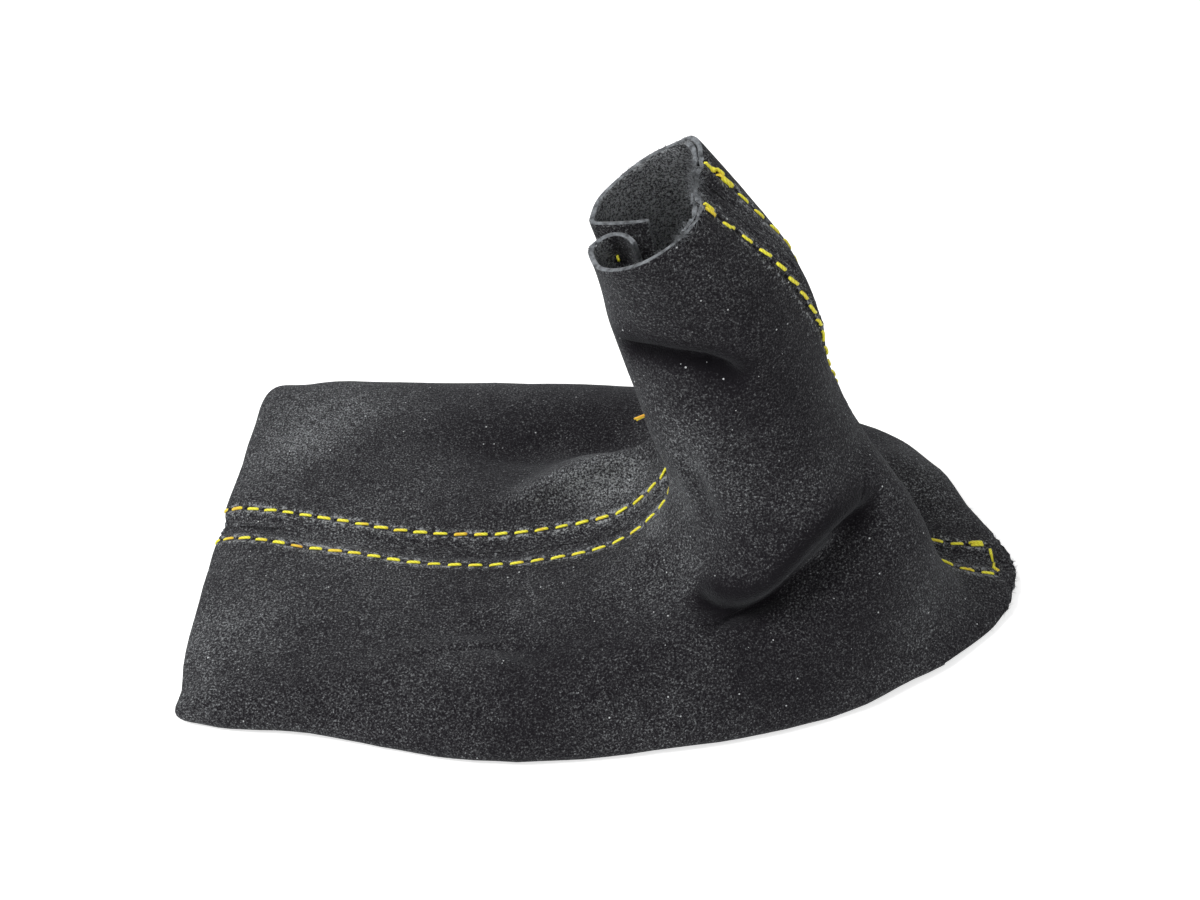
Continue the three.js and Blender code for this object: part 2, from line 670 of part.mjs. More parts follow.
// The origin is on the floor, under the middle of the base.
const extent = new THREE.Box3().setFromObject(gaiter);
const middleOfBase = extent.getCenter(new THREE.Vector3()).setZ(extent.min.z);
gaiter.position.copy(middleOfBase).negate();

export default gaiter;
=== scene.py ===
import math

import bmesh
import bpy
import numpy as np
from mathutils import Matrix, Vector, noise
from mathutils.bvhtree import BVHTree


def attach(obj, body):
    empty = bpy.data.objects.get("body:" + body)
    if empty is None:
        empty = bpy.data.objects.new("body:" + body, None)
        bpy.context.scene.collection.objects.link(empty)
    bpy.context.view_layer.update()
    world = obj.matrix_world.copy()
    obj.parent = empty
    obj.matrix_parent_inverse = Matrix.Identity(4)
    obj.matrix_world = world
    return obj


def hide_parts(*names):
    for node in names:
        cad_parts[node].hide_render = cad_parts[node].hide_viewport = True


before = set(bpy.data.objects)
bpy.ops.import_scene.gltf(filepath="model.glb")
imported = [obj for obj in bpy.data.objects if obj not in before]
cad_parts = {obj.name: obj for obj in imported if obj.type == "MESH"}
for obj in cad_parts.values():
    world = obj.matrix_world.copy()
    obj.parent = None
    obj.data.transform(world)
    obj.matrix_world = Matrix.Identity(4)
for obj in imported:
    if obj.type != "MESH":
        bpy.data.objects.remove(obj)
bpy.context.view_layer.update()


# Near panel: the half of the gaiter that faces the camera, cut from one piece of charcoal suede about
# 1.1 mm thick. Its hem is turned under, its seam allowances are folded in and pressed open, and the
# edges at the rim and the rear tip are cut and left raw. The suede is soft, so it hangs in folds.

def linear(hex_code):
    """An sRGB hex colour as the linear RGBA that a shader takes."""
    channels = [int(hex_code[i:i + 2], 16) / 255 for i in (1, 3, 5)]
    return [c / 12.92 if c <= 0.04045 else ((c + 0.055) / 1.055) ** 2.4 for c in channels] + [1.0]


def add_node(material, kind, values=None, links=None, **settings):
    """Adds one node, with its settings, its socket values and what is linked into it."""
    node = material.node_tree.nodes.new(kind)
    for name, value in settings.items():
        setattr(node, name, value)
    for socket, value in (values or {}).items():
        node.inputs[socket].default_value = value
    for socket, source in (links or {}).items():
        material.node_tree.links.new(source, node.inputs[socket])
    return node


def select_only(piece):
    """Leaves one object selected and active."""
    bpy.ops.object.select_all(action="DESELECT")
    piece.select_set(True)
    bpy.context.view_layer.objects.active = piece


def points_of(piece):
    """The places of a mesh's points, in metres."""
    places = np.empty(len(piece.data.vertices) * 3)
    piece.data.vertices.foreach_get("co", places)
    return places.reshape(-1, 3)


def put_points(piece, places):
    """Moves a mesh's points to new places."""
    piece.data.vertices.foreach_set("co", np.ascontiguousarray(places).ravel())
    piece.data.update()


def normals_of(piece):
    """The directions in which a mesh's points face."""
    normals = np.empty(len(piece.data.vertices) * 3)
    piece.data.vertices.foreach_get("normal", normals)
    return normals.reshape(-1, 3)


def put_attribute(piece, name, values):
    """Gives a mesh one number at each point, for its material to read."""
    attribute = piece.data.attributes.new(name, "FLOAT", "POINT")
    attribute.data.foreach_set("value", np.ascontiguousarray(values, dtype=np.float32))


def eased(share):
    """A smooth step from 0 to 1."""
    share = np.clip(share, 0, 1)
    return share * share * (3 - 2 * share)


def unit(vectors):
    """Vectors at unit length."""
    return vectors / np.maximum(np.linalg.norm(vectors, axis=-1, keepdims=True), 1e-12)


def along(line, distances):
    """Places at given distances along a line of points."""
    steps = np.linalg.norm(np.diff(line, axis=0), axis=1)
    marks = np.concatenate([[0], np.cumsum(steps)])
    return np.stack([np.interp(distances, marks, line[:, k]) for k in range(3)], axis=1)


def length_of(line):
    """The length of a line of points."""
    return np.linalg.norm(np.diff(line, axis=0), axis=1).sum()


def nearest_on(line, places):
    """For each place, the number of the nearest point of a line."""
    batch = 4000
    found = np.empty(len(places), dtype=int)
    for first in range(0, len(places), batch):
        gaps = places[first:first + batch, None, :] - line[None, :, :]
        found[first:first + batch] = np.argmin((gaps * gaps).sum(axis=2), axis=1)
    return found


# Points of a CAD mesh that are closer than this, in metres, are one point.
same_place = 1e-6


def thread_line(node_name, first):
    """The middle of a CAD thread from one end to the other. first scores a point, highest at the start."""
    ring_points = 4
    mesh = bmesh.new()
    mesh.from_mesh(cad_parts[node_name].data)
    bmesh.ops.remove_doubles(mesh, verts=mesh.verts, dist=same_place)
    mesh.verts.index_update()
    start = max(mesh.verts, key=lambda v: first(v.co))
    ring = sorted(mesh.verts, key=lambda v: (v.co - start.co).length)[:ring_points]
    seen = set(ring)
    line = []
    while ring:
        line.append(sum((v.co for v in ring), Vector()) / len(ring))
        around = {e.other_vert(u) for u in ring for e in u.link_edges}
        ring = sorted((v for v in around if v not in seen), key=lambda v: v.index)
        seen.update(ring)
    mesh.free()
    return np.array(line)


def soft_panel(node_name, name):
    """A copy of a CAD panel, merged, turned to quads and rounded to a fine mesh with crisp cut edges."""
    corner_angle = math.radians(60)
    point_angle = math.radians(50)
    look_away = -0.7
    edge_crispness = 0.55
    point_crispness = 0.9
    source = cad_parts[node_name]
    panel = bpy.data.objects.new(name, source.data.copy())
    bpy.context.scene.collection.objects.link(panel)
    panel.data.materials.clear()
    select_only(panel)
    bpy.ops.object.mode_set(mode="EDIT")
    bpy.ops.mesh.select_all(action="SELECT")
    bpy.ops.mesh.remove_doubles(threshold=same_place)
    bpy.ops.mesh.tris_convert_to_quads(face_threshold=corner_angle, shape_threshold=corner_angle)
    bpy.ops.object.mode_set(mode="OBJECT")
    bpy.ops.mesh.customdata_custom_splitnormals_clear()

    mesh = bmesh.new()
    mesh.from_mesh(panel.data)
    crease = mesh.edges.layers.float.new("crease_edge")
    pin = mesh.verts.layers.float.new("crease_vert")
    # A face of the cut edge lies between two sharp corners, and its neighbours there look away from each
    # other: they are the suede's two sides.
    for face in mesh.faces:
        corners = [e for e in face.edges if e.is_manifold and e.calc_face_angle() > corner_angle]
        beside = [next(f for f in e.link_faces if f != face).normal for e in corners]
        is_wall = any(a.dot(b) < look_away for a in beside for b in beside)
        face.material_index = 1 if is_wall else 0
        if is_wall:
            for edge in corners:
                edge[crease] = edge_crispness
    for vert in mesh.verts:
        sharp = [e for e in vert.link_edges if e.is_manifold and e.calc_face_angle() > point_angle]
        vert[pin] = point_crispness if len(sharp) > 2 else 0.0
    mesh.to_mesh(panel.data)
    mesh.free()

    rounding = panel.modifiers.new("rounding", "SUBSURF")
    rounding.levels = 2
    rounding.render_levels = 2
    bpy.ops.object.modifier_apply(modifier="rounding")
    bpy.ops.object.shade_smooth()
    return panel


def seam_of(near_row, far_row, outside):
    """The middle of a seam between its two rows, with its directions: across points to the near row."""
    spacing = 0.001
    near_row = along(near_row, np.arange(0, length_of(near_row), spacing))
    far_row = along(far_row, np.arange(0, length_of(far_row), spacing / 2))
    facing_row = far_row[nearest_on(far_row, near_row)]
    middle = (near_row + facing_row) / 2
    across = unit(near_row - facing_row)
    ahead = unit(np.gradient(middle, axis=0))
    out = unit(np.cross(ahead, across))
    out *= np.sign((out * outside).sum(axis=1))[:, None]
    return {"middle": middle, "across": across, "ahead": ahead, "out": out}


def fold(places, line, facing, pushes, depth=0.010, ease=0.25, dark=(1.2, 3.0)):
    """Pushes the suede near a line of points, and gives how far each point lies in the fold's shade.

    The line is in millimetres, and facing is the outward direction, once or at even steps along it. Each
    push is (offset across the line, width, outward move, sideways move) in millimetres. depth is how far
    from the line the push reaches through the suede, ease is the share of the line over which it fades at
    each end, and dark is the offset and width of the strip that lies in shade.
    """
    count = 120
    smoothing_rounds = 12
    end_reach = 0.004
    line = np.array(line) / 1000
    facing = np.array(facing, dtype=float)
    steps = np.linspace(0, length_of(line), count)
    share = np.linspace(0, 1, count)
    if facing.ndim == 1:
        facing = np.tile(facing, (count, 1))
    else:
        marks = np.linspace(0, 1, len(facing))
        facing = np.stack([np.interp(share, marks, facing[:, k]) for k in range(3)], axis=1)
    line = along(line, steps)
    for _ in range(smoothing_rounds):
        line[1:-1] = (line[:-2] + 2 * line[1:-1] + line[2:]) / 4
    ahead = unit(np.gradient(line, axis=0))
    across = unit(np.cross(facing, ahead))
    facing = np.cross(ahead, across)
    near = nearest_on(line, places)
    gap = places - line[near]
    side = (gap * across[near]).sum(axis=1)
    rise = (gap * facing[near]).sum(axis=1)
    past = (gap * ahead[near]).sum(axis=1)
    hold = eased(share[near] / ease) * eased((1 - share[near]) / ease)
    hold *= np.exp(-(rise / depth) ** 2 - (past / end_reach) ** 2)
    for offset, width, outward, sideways in pushes:
        strength = hold * np.exp(-((side * 1000 - offset) / width) ** 2)
        places += strength[:, None] * (facing[near] * outward + across[near] * sideways) / 1000
    return hold * np.exp(-((side * 1000 - dark[0]) / dark[1]) ** 2)


# The noise is seeded, so that the suede is uneven in the same way in each run.
noise.seed_set(5)

# The suede lies on the floor, and no point of it is lower than this.
lowest = 0.00003


def shape_folds(places):
    """The folds that the gaiter lies in, and a little unevenness. Gives the painted shade of its creases."""
    painted_crease_shade = np.zeros(len(places))
    # The seam runs in a fold up the front of the neck, between two soft rolls.
    fold(places, [(1.5, -4, 66), (4.5, -4, 59), (7, -4, 52), (11, -4, 42), (12, -4, 31.5), (7.5, -4.5, 22)],
         [(-1, 0, -0.3), (-1, 0, 0), (-0.8, 0, 0.5)],
         [(0, 5.5, -2.8, 0), (10.5, 4.5, 0.9, 0)], depth=0.014, ease=0.3)
    # The long crease round the foot of the neck, with a roll hanging over it.
    painted_crease_shade += fold(places, [(15.5, -30.5, 23), (20, -35, 23.5), (23, -37, 23.5), (27.5, -37, 24),
                             (31.5, -36, 24.5), (35.5, -34.5, 27), (38, -34, 30.5), (41.5, -33, 35),
                             (44.5, -31, 38), (48.5, -27.5, 39.5), (53, -22.5, 38), (58, -21, 37.5)],
                    [(-0.2, -0.7, 0.68), (0.1, -0.8, 0.6), (0.35, -0.75, 0.55)],
                    [(0, 2.6, -3.4, 0), (5, 3.8, 1.4, -1.0), (-5.5, 4, 0.4, 0)], ease=0.16, dark=(2.4, 3.6))
    # A dent across the neck, below the rim.
    painted_crease_shade += fold(places, [(0.5, -8, 73.5), (4, -12, 75.5), (7, -14, 76.5), (10, -16, 77.5),
                             (15.5, -17.5, 77.5), (22, -19.5, 76.5), (28, -20.5, 73.5)],
                    [(-0.8, -0.55, -0.1), (-0.4, -0.9, 0), (0, -1, 0.2)],
                    [(0, 2.3, -2.8, 0), (4.6, 4, 1.1, -0.8), (-7, 5, -0.9, 0)], ease=0.22)
    # The ridge behind the front seam, and the pocket that it hides.
    fold(places, [(-28, 6.5, 10), (-20, 7.5, 13.5), (-12, 9.5, 18), (-6, 10.5, 20.5), (0, 11.5, 23),
                  (6, 11.5, 26), (11, 10.5, 31), (14, 10, 37)],
         (-0.1, -0.3, 0.95), [(0, 3.2, 2.4, -0.5), (8.5, 5.5, -4.6, 0)], depth=0.014, ease=0.22)
    fold(places, [(-3, 11.5, 22), (4, 11.5, 26), (10, 10.5, 31), (15, 9, 37), (18, 8, 43)],
         (-0.2, 0, 1), [(0, 5, 3.6, 0)], depth=0.014, ease=0.4)
    # The hem's two front corners, the near one with a small lip.
    fold(places, [(-86, 52.5, -1), (-85.5, 52, 9)], (-0.6, 0.8, 0), [(0, 7, 2.6, 0)], ease=0.05)
    fold(places, [(-92, -46.5, -1), (-91.5, -46, 8)], (-0.9, -0.4, 0),
         [(0, 3, 1.5, 0), (6.5, 3, -0.5, 0)], ease=0.05)
    # A soft dimple in the near side of the base, and a wave in the hem beside it.
    fold(places, [(-31.5, -27, 9.5), (-26, -32, 10.5), (-22.5, -35.5, 11.5), (-19, -38, 11.5),
                  (-13.5, -43, 14)],
         (0, -0.1, 1), [(0, 3, -1.4, 0), (6, 4, 0.6, 0), (-6, 4, 0.4, 0)])
    # The rear seam stands out below the rim, with the far side behind it, and dips in above the neck's
    # foot.
    fold(places, [(20, -5, 107), (26, -5, 101), (34, -4.5, 92.5), (38.5, -3, 83), (42.5, -1, 73),
                  (46, 2, 63)],
         (0.88, -0.45, -0.2), [(0, 4.2, 4.0, 0), (6, 6, -0.6, -1.4)], depth=0.012, ease=0.4)
    fold(places, [(46, 3, 62), (49.5, 6.5, 51), (54, 7, 40), (60, 5, 28), (64, 3, 19)],
         (0.9, -0.1, 0.4), [(0, 12, -3.6, 0)], depth=0.02, ease=0.35)
    # The far side of the neck stands out between the rim and the bend.
    fold(places, [(8, 8, 121), (14, 6, 114), (20, 4, 108), (28, 3, 99), (35, 2, 91), (41, 3, 80)],
         (0.8, 0.5, 0.1), [(0, 5, 1.7, 0)], depth=0.012, ease=0.3)
    # The far side of the base stands up behind the neck's foot.
    fold(places, [(62, 27, 8), (70, 23, 8), (77, 18, 7), (84, 12, 6)], (0, 0.3, 1),
         [(0, 8, 2.8, 0)], ease=0.35)
    # The near row runs a little closer to the far one at the rear tip.
    fold(places, [(68, -4, 15), (78, -7.5, 8), (86, -10, 5), (94, -11, 4)], (0, 0, 1),
         [(0, 6, 0, 1.8)], ease=0.3)
    # Slack folds down the neck's near side.
    fold(places, [(14, -19, 60), (17, -21.5, 52), (20, -24, 44), (24, -29, 36)], (-0.5, -0.8, 0.1),
         [(0, 2.6, -0.9, 0), (4.5, 3, 0.7, 0), (-4.5, 3, 0.7, 0)], ease=0.35)
    fold(places, [(24, -21.5, 66), (28, -24.5, 56), (33, -28, 49)], (0.1, -0.95, 0.3),
         [(0, 3, -0.8, 0), (5, 3.5, 0.6, 0), (-5, 3.5, 0.5, 0)], ease=0.35)
    # Soft waves about 16 mm long and puckers about 6 mm long, given as how many come in a metre.
    waves = 62
    wave_move = 0.00055
    puckers = 170
    pucker_move = 0.00017
    for i, place in enumerate(places):
        broad = noise.noise_vector(Vector(place) * waves)
        small = noise.noise_vector(Vector(place) * puckers + Vector((7, 3, 5)))
        places[i] += np.array(broad) * wave_move + np.array(small) * pucker_move
    places[:, 2] = np.maximum(places[:, 2], lowest)
    return painted_crease_shade


# The two rows of each seam, from the neck to the hem. At the front they wrap round the hem's fold, and
# at the rim they start close to the cut edge.
def lengthened(row, at_start, at_end):
    """A row with one more point before its start and after its end, each given as a move in mm."""
    return np.vstack([row[:1] + np.array([at_start]) / 1000, row, row[-1:] + np.array([at_end]) / 1000])


at_slit = (0, 0, 0.1)
round_hem = (-1.6, 0.2, -2.4)
near_front_row = lengthened(thread_line("front_topstitch_near", lambda p: p.z), at_slit, round_hem)
far_front_row = lengthened(thread_line("front_topstitch_far", lambda p: p.z), at_slit, round_hem)

# The rear thread is one piece in the CAD, and starts at the rim on the near side. It closes across the
# tip where it heads sideways, and the two rows are what comes before that and after it.
rear_row = thread_line("rear_topstitch", lambda p: p.z - 3 * p.y)
rear_step = 0.00025
rear_row = along(rear_row, np.arange(0, length_of(rear_row), rear_step))
heading = unit(np.gradient(rear_row, axis=0))
tip_from = 0.08
sideways_share = 0.8
closing = np.nonzero((np.abs(heading[:, 1]) > sideways_share) & (rear_row[:, 0] > tip_from))[0]
to_rim = (-1.7, 0, 1.5)
at_tip = (0.01, 0, 0)
near_rear_row = lengthened(rear_row[:closing[0]], to_rim, at_tip)
far_rear_row = lengthened(rear_row[:closing[-1]:-1], to_rim, at_tip)
closing_row = rear_row[closing[0]:closing[-1] + 1]
rows = [near_front_row, far_front_row, near_rear_row, far_rear_row, closing_row]

# The rear seam goes on past the closing stitches, to the raw edge of the tip. The last direction of
# each seam is roughly outwards.
front_seam = seam_of(near_front_row, far_front_row, (-0.6, 0, 0.8))
past_rim = (-0.5, 0, 0.5)
rear_seam = seam_of(lengthened(near_rear_row, past_rim, (6, 0.2, -0.8)),
                    lengthened(far_rear_row, past_rim, (9, 0, -0.8)), (0.6, 0, 0.8))

# The length from one hole to the next, and the distance from the seam to each row.
stitch_pitch = 0.0048
row_offset = 0.0047


def press_seam(panel, seam, row, sign):
    """Presses a seam flat: its folded edge meets the other panel's, and the band between rows sinks.

    Gives how far each point is beyond the row, in millimetres, and how many stitches along it.
    """
    places = points_of(panel)
    facing = normals_of(panel)
    near = nearest_on(seam["middle"], places)
    gap = places - seam["middle"][near]
    out = seam["out"][near]
    across = (gap * seam["across"][near]).sum(axis=1) * sign
    height = (gap * out).sum(axis=1)
    past = np.abs((gap * seam["ahead"][near]).sum(axis=1))
    level = (facing * out).sum(axis=1)
    # The suede beside this seam: up to 12 mm across it, 7 mm through it and 1.2 mm past its ends.
    beside = (across > -0.002) & (across < 0.012) & (np.abs(height) < 0.007) & (past < 0.0012)

    # The height of the seam's shoulder, the flat suede next to the folded edge, averaged along the seam.
    shoulder = beside & (level > 0.5) & (across > 0.0019) & (across < 0.0032)
    bins = len(seam["middle"])
    window = np.ones(7)
    found = np.convolve(np.bincount(near[shoulder], minlength=bins), window, "same")
    total = np.convolve(np.bincount(near[shoulder], height[shoulder], minlength=bins), window, "same")
    top = (total / np.maximum(found, 1))[near]

    # The folded edge comes level with the shoulder, and close to the other panel's edge.
    edge_width = 0.0026
    edge_depth = 0.0022
    ease_width = 0.0006
    edge = beside & (across < edge_width) & (height > top - edge_depth)
    lift = (top - height) * eased((level - 0.1) / 0.5) * eased((edge_width - across) / ease_width)
    places += np.where(edge, lift, 0)[:, None] * out
    lip_width = 0.0007
    closed_share = 0.72
    closer = np.where(edge & (across < lip_width), -closed_share * across, 0) * sign
    places += closer[:, None] * seam["across"][near]

    # The band between the rows sinks, and the suede sinks a little more under each row.
    band_depth = 0.0045
    band_width = 0.0046
    band_ease = 0.0016
    band_sink = 0.00035
    row_sink = 0.00028
    row_width = 0.0006
    band = beside & (height > top - band_depth)
    sink = -band_sink * eased((band_width - across) / band_ease)
    channel = -row_sink * np.exp(-((across - row_offset) / row_width) ** 2) * eased(level)
    places += np.where(band, sink + channel, 0)[:, None] * out
    put_points(panel, places)

    row_step = 0.0005
    not_beside = 50.0
    line = along(row, np.arange(0, length_of(row), row_step))
    ahead = unit(np.gradient(line, axis=0))
    spot = nearest_on(line, places[beside])
    overrun = ((places[beside] - line[spot]) * ahead[spot]).sum(axis=1)
    reach = spot * row_step + overrun
    beyond = np.full(len(places), not_beside)
    ended = (spot == len(line) - 1) & (overrun > 0.0008)
    beyond[beside] = np.where(ended, not_beside, (across[beside] - row_offset) * 1000)
    count = np.zeros(len(places))
    count[beside] = reach / (length_of(row) / round(length_of(row) / stitch_pitch))
    return beyond, count


# Where the suede is painted lighter or darker, partly as nap brushed light or dark and partly as painted
# light
# and shade: a painted highlight on the ridge's crest, and painted shade in the pocket behind it, in the dent
# across the neck and along the crease. Each gives the middle of the patch and its reach in mm, and how much.
nap_and_light_patches = [
    ((-86, -32, 5), 20, 0.1), ((-72, -26, 8), 16, 0.05), ((-76, 42, 7), 22, 0.15), ((-80, 30, 6), 14, 0.06),
    ((-20, 33, 7), 17, -0.12), ((2, 40, 9), 16, -0.15), ((-26, 20, 8), 9, -0.08), ((-42, 30, 9), 12, -0.04),
    ((-12, 16, 13), 6, -0.15), ((0, 20, 15), 8, -0.2), ((9, 18, 21), 7, -0.2), ((-12, 9, 17), 4, 0.15),
    ((-4, 8, 17), 8, 0.3), ((5, 9, 21), 7, 0.28), ((-18, 7, 13), 7, 0.16),
    ((-18, -46, 12), 16, -0.08), ((6, -40, 19), 12, -0.08), ((33, -45, 13), 16, -0.16),
    ((56, -36, 15), 12, -0.13), ((4, -16, 92), 7, -0.02), ((16, -19, 95), 8, -0.03),
    ((6, -14, 79), 6, -0.16), ((14, -17, 82), 9, -0.1), ((30, -18, 84), 9, -0.1), ((38, -17, 70), 10, -0.08),
    ((41, -19, 58), 9, -0.04), ((22, -20, 73), 7, -0.2), ((10, -12, 26), 7, 0.2), ((14, -17, 40), 8, 0.2),
    ((16, -21, 56), 7, 0.12), ((18, -27, 29), 6, 0.1), ((24, -31, 33), 6, -0.02), ((34, -33, 40), 6, -0.03),
    ((27, -36, 22), 5, -0.12), ((47, -29, 37), 4, -0.1), ((70, -26, 14), 9, 0.05), ((76, 18, 5), 14, 0.05),
    ((91, -8, 3), 7, 0.06),
]


def finish_panel(panel, front_row, rear_row_of_side, sign):
    """Presses a panel's seams, lays its folds, and writes what its material reads."""
    front_beyond, front_count = press_seam(panel, front_seam, front_row, sign)
    rear_beyond, rear_count = press_seam(panel, rear_seam, rear_row_of_side, sign)
    places = points_of(panel)
    nap_and_painted_light = sum(amount * np.exp(-(((places * 1000 - middle) / reach) ** 2).sum(axis=1))
              for middle, reach, amount in nap_and_light_patches)
    # The creases and the dent are painted darker, as the shade that lies in them.
    crease_shade = 1.4
    nap_and_painted_light -= crease_shade * shape_folds(places)
    put_points(panel, places)
    # The neck's inside shows the hide's paler face. The middle of the neck leans forward as it rises.
    neck_foot = 0.05
    neck_side = -0.003
    inside_pale = 0.42
    neck_middle = np.interp(places[:, 2], [neck_foot, 0.075, 0.1], [0.025, 0.018, 0.012])
    heart = np.stack([neck_middle, np.full(len(places), neck_side), places[:, 2]], axis=1)
    inward = -(normals_of(panel) * unit(places - heart)).sum(axis=1)
    nap_and_painted_light += inside_pale * eased((inward - 0.1) / 0.4) * eased((places[:, 2] - neck_foot) / 0.02)
    # The raw edges are ragged at the rear of the rim, on the inside and the top, and at the rear tip.
    places = points_of(panel)
    at_rim = eased((places[:, 2] - 0.101) / 0.004) * eased((places[:, 0] - 0.012) / 0.003)
    ragged = np.maximum(at_rim, 0.7 * eased((places[:, 0] - 0.088) / 0.002))
    near_inside = eased((inward + 0.6) / 0.3) * eased((0.004 - places[:, 1]) / 0.002)
    ragged *= np.where(places[:, 2] > neck_foot, near_inside, 1)
    tufts_per_metre = 750
    tuft_move = 0.0009
    for i in np.nonzero(ragged > 0)[0]:
        tuft = noise.noise_vector(Vector(places[i]) * tufts_per_metre)
        places[i] += np.array(tuft) * tuft_move * ragged[i]
    places[:, 2] = np.maximum(places[:, 2], lowest)
    put_points(panel, places)
    put_attribute(panel, "nap_and_painted_light", nap_and_painted_light)
    put_attribute(panel, "beyond_row", np.minimum(front_beyond, rear_beyond))
    put_attribute(panel, "stitch_count", np.where(front_beyond < rear_beyond, front_count, rear_count))


near_panel = soft_panel("near_panel", "near_suede")
finish_panel(near_panel, near_front_row, near_rear_row, 1)

# Suede, the split flesh side of a hide, dyed charcoal and brushed: matt, with a grain of short fibres,
# patches where the nap lies lighter or darker, painted shade in its creases, its dent and the pocket behind
# the ridge, a painted highlight on the ridge's crest, and a few specks of dust. Its patches are about 24 mm
# wide and its mottle 4 mm. The fibres are too fine to show, so the grain is drawn as tufts of 0.4 mm.
suede = bpy.data.materials.new("suede_charcoal")
suede.use_nodes = True
place = add_node(suede, "ShaderNodeTexCoord").outputs["Object"]
blotches = add_node(suede, "ShaderNodeTexNoise", {"Scale": 42, "Detail": 2, "Roughness": 0.5},
                    {"Vector": place})
mottle = add_node(suede, "ShaderNodeTexNoise", {"Scale": 260, "Detail": 3, "Roughness": 0.6},
                  {"Vector": place})
grain = add_node(suede, "ShaderNodeTexNoise", {"Scale": 2300, "Detail": 2, "Roughness": 0.8},
                 {"Vector": place})
# This attribute holds the brushed nap, the neck's paler inside, and painted light and shade: painted shade
# in the creases, the dent and the pocket behind the ridge, and a painted highlight on the ridge's crest.
nap_and_light_value = add_node(suede, "ShaderNodeAttribute", attribute_name="nap_and_painted_light")
tone = add_node(suede, "ShaderNodeMath", {1: 0.45, 2: 0.27}, {0: blotches.outputs["Fac"]},
                operation="MULTIPLY_ADD")
tone = add_node(suede, "ShaderNodeMath", {1: 0.2}, {0: mottle.outputs["Fac"], 2: tone.outputs[0]},
                operation="MULTIPLY_ADD")
tone = add_node(suede, "ShaderNodeMath", {1: 2.6}, {0: grain.outputs["Fac"], 2: tone.outputs[0]},
                operation="MULTIPLY_ADD")
tone = add_node(suede, "ShaderNodeMath", {1: -1.49}, {0: tone.outputs[0]}, operation="ADD")
tone = add_node(suede, "ShaderNodeMath", links={0: tone.outputs[0], 1: nap_and_light_value.outputs["Fac"]},
                operation="ADD")

# Beside each row the nap stands up in a pale line of tufts 1.4 mm long, from 0.3 to 2 mm off the row.
# The pale line is also a painted highlight, where the suede puckered by the stitches catches the light.
beyond = add_node(suede, "ShaderNodeAttribute", attribute_name="beyond_row")
apart = add_node(suede, "ShaderNodeMath", links={0: beyond.outputs["Fac"]}, operation="ABSOLUTE")
rise = add_node(suede, "ShaderNodeMapRange", {1: 0.3, 2: 0.7, 3: 0.0, 4: 1.0}, {0: apart.outputs[0]})
fall = add_node(suede, "ShaderNodeMapRange", {1: 0.8, 2: 2.0, 3: 1.0, 4: 0.0}, {0: apart.outputs[0]})
fluff = add_node(suede, "ShaderNodeMath", links={0: rise.outputs[0], 1: fall.outputs[0]},
                 operation="MULTIPLY")
locks = add_node(suede, "ShaderNodeTexNoise", {"Scale": 700, "Detail": 2, "Roughness": 0.7},
                 {"Vector": place})
locks = add_node(suede, "ShaderNodeMapRange", {1: 0.42, 2: 0.62, 3: 0.0, 4: 1.0},
                 {0: locks.outputs["Fac"]})
tufts_and_highlight = add_node(suede, "ShaderNodeMath", links={0: fluff.outputs[0], 1: locks.outputs[0]},
                 operation="MULTIPLY")
tone = add_node(suede, "ShaderNodeMath", {1: 0.6}, {0: tufts_and_highlight.outputs[0], 2: tone.outputs[0]},
                operation="MULTIPLY_ADD")

# Between the rows the pressed band is brushed lengthwise, in paler strokes 2 mm long and 0.4 mm wide,
# with a faint line where the panels meet.
count = add_node(suede, "ShaderNodeAttribute", attribute_name="stitch_count")
lie = add_node(suede, "ShaderNodeCombineXYZ", links={0: count.outputs["Fac"], 1: beyond.outputs["Fac"]})
strokes = add_node(suede, "ShaderNodeTexNoise", {"Scale": 2.4, "Detail": 3, "Roughness": 0.65},
                   {"Vector": lie.outputs[0]})
inside = add_node(suede, "ShaderNodeMapRange", {1: -0.6, 2: -1.4, 3: 0.0, 4: 1.0},
                  {0: beyond.outputs["Fac"]})
strokes = add_node(suede, "ShaderNodeMapRange", {1: 0.35, 2: 0.7, 3: -0.08, 4: 0.22},
                   {0: strokes.outputs["Fac"]})
strokes = add_node(suede, "ShaderNodeMath", links={0: strokes.outputs[0], 1: inside.outputs[0]},
                   operation="MULTIPLY")
tone = add_node(suede, "ShaderNodeMath", links={0: tone.outputs[0], 1: strokes.outputs[0]},
                operation="ADD")
meeting = add_node(suede, "ShaderNodeMapRange", {1: -4.2, 2: -4.6, 3: 0.0, 4: -0.22},
                   {0: beyond.outputs["Fac"]})
tone = add_node(suede, "ShaderNodeMath", links={0: tone.outputs[0], 1: meeting.outputs[0]},
                operation="ADD")
colour = add_node(suede, "ShaderNodeValToRGB", links={"Fac": tone.outputs[0]})
ramp = colour.color_ramp
ramp.elements[0].position = 0.0
ramp.elements[0].color = linear("#121014")
ramp.elements[1].position = 1.0
ramp.elements[1].color = linear("#989b9d")
for position, shade in ((0.28, "#201e22"), (0.52, "#38383a"), (0.74, "#5b5c5e")):
    ramp.elements.new(position).color = linear(shade)

